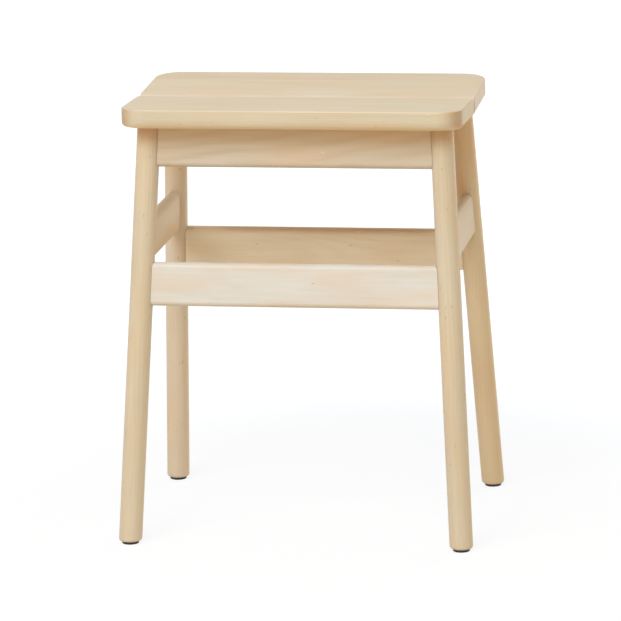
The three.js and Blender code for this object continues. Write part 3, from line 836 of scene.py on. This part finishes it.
for node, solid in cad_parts.items():
    if "dowel" in node or "screw" in node or "nail" in node:
        solid.data.materials.clear()
        solid.data.materials.append(raw_beech if "dowel" in node else steel)
for number in range(1, SEAT_SCREWS + 1):
    start, end = pin_ends(f"seat_screw_{number}", 2)
    batten = battens["left" if start.x < 0 else "right"]
    board = boards["front" if start.y < 0 else "rear"]
    mouth = Vector((start.x, start.y, batten_bottom - DRILL_START))
    shoulder = Vector((start.x, start.y, start.z + SCREW_HEAD_HEIGHT + 2 * FIT))
    carve(batten, [round_bar(SCREW_HEAD_HOLE, mouth, shoulder)])
    shank = round_bar(SCREW_HOLE, mouth, end)
    carve(batten, [shank])
    carve(board, [shank])

# Glides: round pads of black plastic under the feet, a little smaller than the legs, with an eased rim.
# The nail's head is sunk in the pad, so that only the plastic touches the floor.
GLIDE_RADIUS = 8.75 * MM
GLIDE_THICKNESS = 2.5 * MM
GLIDE_EDGE = 0.6 * MM
GLIDE_EDGE_STEPS = 5
NAIL_HEAD_HOLE = 3.3 * MM
NAIL_HEAD_DEPTH = 1.4 * MM
NAIL_HOLE = 1.6 * MM
PLASTIC_BLACK = "1b1714"
PLASTIC_DUSTY = "2c2622"
DUST = ((6 * MM, 6 * MM, 3 * MM), 3.0)
DUST_SHARE = (0.3, 0.6)
PIMPLES = ((0.5 * MM, 0.5 * MM, 0.5 * MM), 2.0)
PLASTIC_ROUGHNESS = (0.52, 0.3)
PLASTIC_RELIEF = (0.25, 0.1 * MM)

plastic = bpy.data.materials.new("black_plastic")
place = first_wire(plastic, "ShaderNodeTexCoord", None, "Object")
dust = place.noise(*DUST)
place.more("ShaderNodeBsdfPrincipled", None, {
    "Base Color": dust.varying(*DUST_SHARE).mixed(colour(PLASTIC_BLACK), colour(PLASTIC_DUSTY)),
    "Roughness": dust.varying(*PLASTIC_ROUGHNESS),
    "Normal": place.noise(*PIMPLES).bump(*PLASTIC_RELIEF),
}).shown()

glide_rim = quarter_round(
    (GLIDE_RADIUS - GLIDE_EDGE, GLIDE_EDGE), (GLIDE_EDGE, GLIDE_EDGE), 270, GLIDE_EDGE_STEPS)
glide_profile = [
    (NAIL_HEAD_HOLE, 0.0),
    *glide_rim,
    (GLIDE_RADIUS, GLIDE_THICKNESS),
    (NAIL_HOLE, GLIDE_THICKNESS),
    (NAIL_HOLE, NAIL_HEAD_DEPTH),
    (NAIL_HEAD_HOLE, NAIL_HEAD_DEPTH),
]
for corner in CORNERS:
    foot = leg_point(corner, FOOT_LEVEL)
    middle = Vector((foot.x, foot.y, 0))
    rings = [[middle + Vector((0, 0, z)) + point for point in circle(r)] for r, z in glide_profile]
    make_piece(
        f"foot_glide_{corner}", loft(rings, True), middle, Vector((1, 0, 0)), Vector((0, 0, 1)),
        plastic)
    carve(legs[corner], [round_bar(NAIL_HOLE, *pin_ends(f"glide_nail_{corner}", 2))])

# Floor: a plain pale studio floor. The camera and mirrored rays see it white, but round the stool it
# keeps a faint trace of the stool's own shadow.
FLOOR_HALF = 8.0
FLOOR_COLOUR = (0.69, 0.6, 0.49, 1.0)
FLOOR_WHITE = (0.965, 1.0, 1.04, 1.0)
FLOOR_STRENGTH = 1.13
# How much of the real floor shows next to the stool, and how far out it fades to white
SHADOW_SHARE = 0.26
SHADOW_FADES = (0.3, 0.9)
floor_mesh = bpy.data.meshes.new("floor")
floor_mesh.from_pydata(
    [(x * FLOOR_HALF, y * FLOOR_HALF, 0) for x, y in ((-1, -1), (1, -1), (1, 1), (-1, 1))],
    [], [(0, 1, 2, 3)])
floor = bpy.data.objects.new("floor", floor_mesh)
bpy.context.scene.collection.objects.link(floor)


def seen_ray(look):
    """One for a ray from the camera, a mirrored ray or a ray through something clear."""
    ray = first_wire(look, "ShaderNodeLightPath", None, "Is Camera Ray")
    return ray.larger(ray.twin("Is Glossy Ray").larger(ray.twin("Is Transmission Ray")))


white_floor = bpy.data.materials.new("white_floor")
seen = seen_ray(white_floor)
matt = seen.more("ShaderNodeBsdfDiffuse", None, {"Color": FLOOR_COLOUR})
white = seen.more("ShaderNodeEmission", None, {"Color": FLOOR_WHITE, "Strength": FLOOR_STRENGTH})
place = seen.more("ShaderNodeTexCoord", None, None, "Object")
away = place.vector("LENGTH", (0, 0, 0), "Value").between(*SHADOW_FADES)
whitened = seen * (1 - (1 - away) * SHADOW_SHARE)
seen.more("ShaderNodeMixShader", None, {0: whitened, 1: matt, 2: white}).shown()
floor_mesh.materials.append(white_floor)

# Room: plain white walls all round, out of sight. They light the stool evenly, a little cooler from the
# left than from the right, and the camera and mirrored rays see them white.
ROOM_LIGHT = 0.59
COOL_SIDE = (0.975, 0.955, 0.95, 1.0)
WARM_SIDE = (1.04, 0.945, 0.80, 1.0)
TINT_REACH = 0.9
room = bpy.data.worlds.new("white_room")
bpy.context.scene.world = room
seen = seen_ray(room)
left_to_right = seen.more("ShaderNodeTexCoord", None, None, "Generated").axes()[0]
room_tint = left_to_right.between(-TINT_REACH, TINT_REACH).mixed(COOL_SIDE, WARM_SIDE)
dim = seen.more("ShaderNodeBackground", None, {"Color": room_tint, "Strength": ROOM_LIGHT})
bright = seen.more("ShaderNodeBackground", None, {"Color": (1.0, 1.0, 1.0, 1.0), "Strength": 1.0})
seen.more("ShaderNodeMixShader", None, {0: seen, 1: dim, 2: bright}).shown("ShaderNodeOutputWorld")

# Softboxes: five large square lamps that all look at the middle of the stool. The key stands on the left,
# two more in front of the stool, and two warm ones light it from the right and from behind.
LIT_POINT = Vector((0, 0, 0.25))
LAMP_DISTANCE = 5.0
LAMP_SIZE = 2.4
COOL = (0.97, 1.0, 1.06)
PLAIN = (1.0, 1.0, 1.0)
WARM = (1.05, 1.0, 0.88)
# How many degrees each lamp stands right of the front and above the floor, its power and its tint
SOFTBOXES = {
    "key_softbox": (-29, 38, 90, COOL),
    "high_softbox": (0, 45, 76, PLAIN),
    "low_softbox": (0, 15, 13, PLAIN),
    "side_softbox": (110, 10, 20, WARM),
    "back_softbox": (147, 8, 79, WARM),
}


def way_out(right_of_front, above):
    """The way from the stool to what stands at these two angles."""
    level = math.cos(above)
    return Vector((math.sin(right_of_front) * level, -math.cos(right_of_front) * level, math.sin(above)))


for name, (right_of_front, above, power, tint) in SOFTBOXES.items():
    light = bpy.data.lights.new(name, "AREA")
    light.shape = "SQUARE"
    light.size = LAMP_SIZE
    light.energy = power
    light.color = tint
    lamp = bpy.data.objects.new(name, light)
    out = way_out(math.radians(right_of_front), math.radians(above))
    lamp.location = LIT_POINT + out * LAMP_DISTANCE
    lamp.rotation_euler = out.to_track_quat("Z", "Y").to_euler()
    bpy.context.scene.collection.objects.link(lamp)

# Camera: a long lens that stands a little right of the front, looks down on the seat at a small angle
# and is tipped very slightly to one side. All of it follows from the photograph's own perspective.
AZIMUTH = 0.171976
ELEVATION = 0.226258
ROLL = -0.023939
DISTANCE = 4.679857
STOOL_MIDDLE = Vector((0, 0, 0.225))
LOOKED_AT = Vector((-0.000196, 0, 0.218565))
FILM_WIDTH = 36
FOCAL_PIXELS = 4501.06
PICTURE_PIXELS = 621
CLEAR_TO = 100
eye = STOOL_MIDDLE + way_out(AZIMUTH, ELEVATION) * DISTANCE
forward = (LOOKED_AT - eye).normalized()
level_right = forward.cross(Vector((0, 0, 1))).normalized()
level_top = level_right.cross(forward)
right = level_right * math.cos(ROLL) + level_top * math.sin(ROLL)
top = level_top * math.cos(ROLL) - level_right * math.sin(ROLL)
lens = bpy.data.cameras.new("camera")
lens.sensor_width = FILM_WIDTH
lens.lens = FILM_WIDTH * FOCAL_PIXELS / PICTURE_PIXELS
lens.clip_end = CLEAR_TO
camera = bpy.data.objects.new("camera", lens)
camera.matrix_world = Matrix.Translation(eye) @ Matrix((right, top, -forward)).transposed().to_4x4()
bpy.context.scene.collection.objects.link(camera)
bpy.context.scene.camera = camera
bpy.context.scene.view_settings.view_transform = "Standard"
